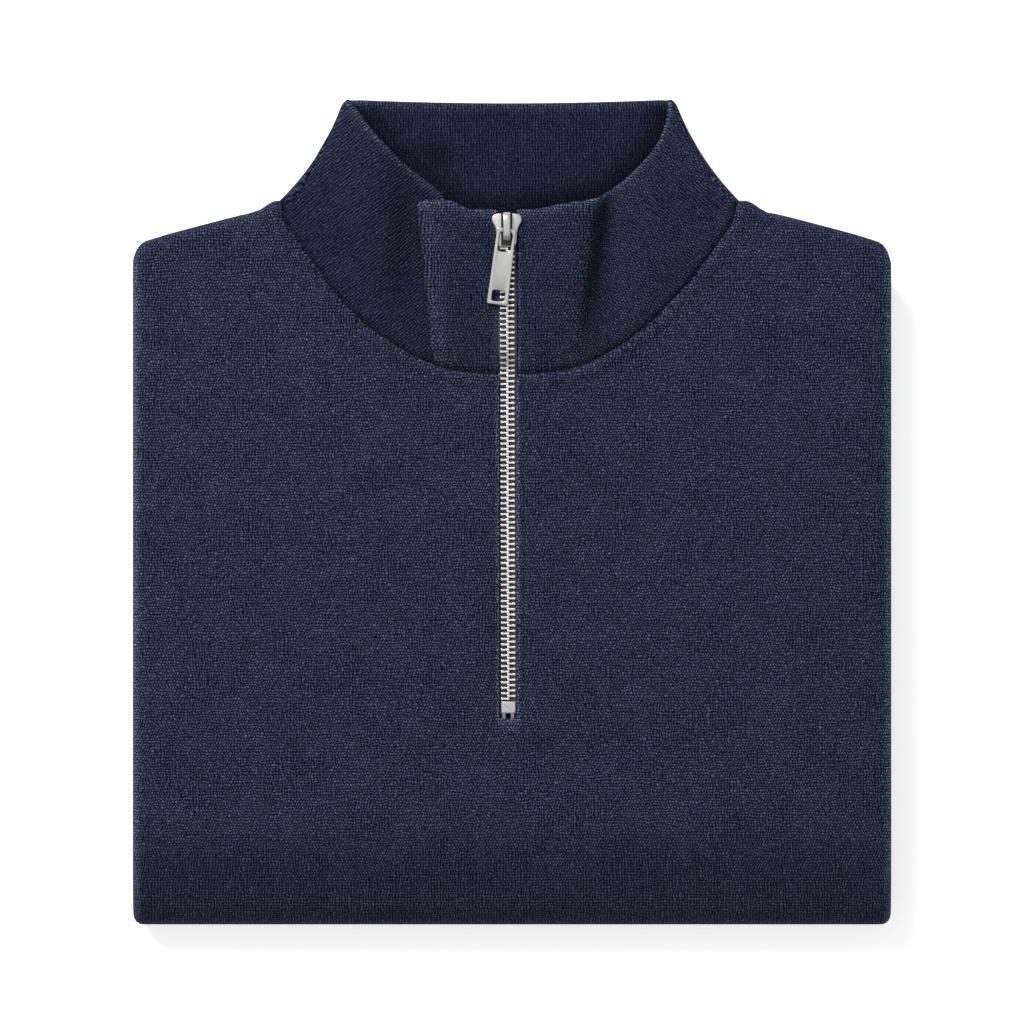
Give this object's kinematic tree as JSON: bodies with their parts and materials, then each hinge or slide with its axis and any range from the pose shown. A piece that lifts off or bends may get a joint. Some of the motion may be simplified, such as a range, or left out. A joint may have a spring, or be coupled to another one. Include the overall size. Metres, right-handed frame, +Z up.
{
  "type": "quarter zip sweater, folded flat",
  "caption": "Navy knitted quarter zip sweater, folded flat face up, with a stand-up collar and a metal zip whose pull tab lifts.",
  "frame": {"origin": "middle of the pack's bounding box, on the surface it lies on", "axes": "+X across the chest to the viewer's right, +Y towards the collar, +Z up out of the chest"},
  "size_m": [0.3176, 0.3455, 0.0359],
  "materials": {
    "body_knit": "matt fine knit with a short nap",
    "collar_knit": "matt double rib knit",
    "zip_tape": "matt herringbone weave",
    "zip_metal": "polished"
  },
  "bodies": {
    "garment": {"front_panel": "body_knit", "back_panel": "body_knit", "sleeve_left": "body_knit", "sleeve_right": "body_knit", "collar": "collar_knit", "zip_tape_left": "zip_tape", "zip_tape_right": "zip_tape", "zip_teeth_left": "zip_metal", "zip_teeth_right": "zip_metal", "bottom_stop": "zip_metal", "slider": "zip_metal"},
    "pull_tab": {"pull_tab": "zip_metal"}
  },
  "joints": [
    {"name": "pull_tab_hinge", "type": "hinge", "parent": "garment", "child": "pull_tab", "pos_m": [-0.0023, 0.1182, 0.03316], "axis": [-0.9921, 0.1253, 0], "range_deg": [0, 165]}
  ]
}
